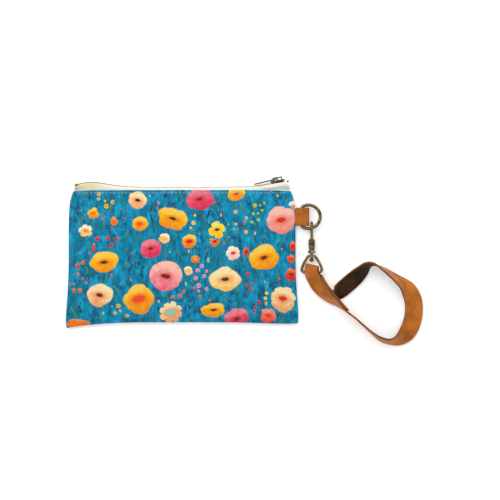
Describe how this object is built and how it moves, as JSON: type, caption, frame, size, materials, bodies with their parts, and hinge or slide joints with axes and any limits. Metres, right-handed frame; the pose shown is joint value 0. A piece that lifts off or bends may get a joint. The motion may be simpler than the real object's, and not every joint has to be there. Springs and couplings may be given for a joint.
{
  "type": "wristlet wallet",
  "caption": "Lined zip wristlet wallet in printed cloth, lying flat, with a leather side tab, D-ring, swivel lobster clasp and twisted leather wrist strap",
  "frame": {"origin": "Middle of the back of the pouch, on the surface it lies on", "axes": "+X along the pouch towards the ring and strap, +Y towards the zip, +Z out of the printed front"},
  "size_m": [0.3149, 0.1494, 0.0178],
  "materials": {
    "printed_cloth": "woven cotton printed with flowers",
    "fleece": "felted",
    "lining_cloth": "plain woven",
    "zip_tape": "twill woven",
    "coil_nylon": "satin",
    "antique_brass": "antiqued and brushed",
    "spring_steel": "plain",
    "sewing_thread": "spun",
    "tan_leather": "smooth grain with raw edges"
  },
  "bodies": {
    "pouch": {"outer_front_panel": "printed_cloth", "outer_back_panel": "printed_cloth", "fleece_front": "fleece", "fleece_back": "fleece", "lining_front": "lining_cloth", "lining_back": "lining_cloth", "zipper_tape_front": "zip_tape", "zipper_tape_back": "zip_tape", "zipper_coil_front": "coil_nylon", "zipper_coil_back": "coil_nylon", "bottom_stop": "coil_nylon", "top_stop_front": "antique_brass", "top_stop_back": "antique_brass", "topstitch_front": "sewing_thread", "topstitch_back": "sewing_thread", "side_tab": "tan_leather"},
    "slider": {"slider_body": "antique_brass"},
    "pull": {"pull_tab": "antique_brass"},
    "ring": {"d_ring": "antique_brass"},
    "hook": {"clasp_hook": "antique_brass", "gate_pin": "antique_brass", "gate_spring": "spring_steel", "swivel_rivet": "antique_brass"},
    "gate": {"clasp_gate": "antique_brass"},
    "eye": {"swivel_eye": "antique_brass"},
    "strap": {"wrist_strap": "tan_leather"}
  },
  "joints": [
    {"name": "slider_slide", "type": "slide", "parent": "pouch", "child": "slider", "axis": [-1, 0, 0], "range_m": [0, 0.1681], "deforming": ["zipper_tape_front", "zipper_tape_back", "zipper_coil_front", "zipper_coil_back"]},
    {"name": "pull_swing", "type": "hinge", "parent": "slider", "child": "pull", "pos_m": [0.08392, 0.06839, 0.005], "axis": [0, 0, -1], "range_deg": [0, 150]},
    {"name": "ring_swing", "type": "hinge", "parent": "pouch", "child": "ring", "pos_m": [0.10563, 0.035, 0.0048], "axis": [0, -1, 0], "range_deg": [-95, 110]},
    {"name": "hook_travel", "type": "hinge", "parent": "ring", "child": "hook", "pos_m": [0.11133, 0.035, 0.0048], "axis": [0, 0, 1], "range_deg": [0, 120]},
    {"name": "gate_open", "type": "hinge", "parent": "hook", "child": "gate", "pos_m": [0.11419, 0.0117, 0.0059], "axis": [-1, 0, 0], "range_deg": [0, 20], "stiffness_Nm_per_rad": 0.02},
    {"name": "eye_swivel", "type": "hinge", "parent": "hook", "child": "eye", "pos_m": [0.11419, 0.00065, 0.0048], "axis": [0, 1, 0], "range_deg": [-120, 120]},
    {"name": "strap_swing", "type": "hinge", "parent": "eye", "child": "strap", "pos_m": [0.11419, -0.01375, 0.0048], "axis": [-0.9781, 0, -0.2079], "range_deg": [-90, 98]}
  ]
}
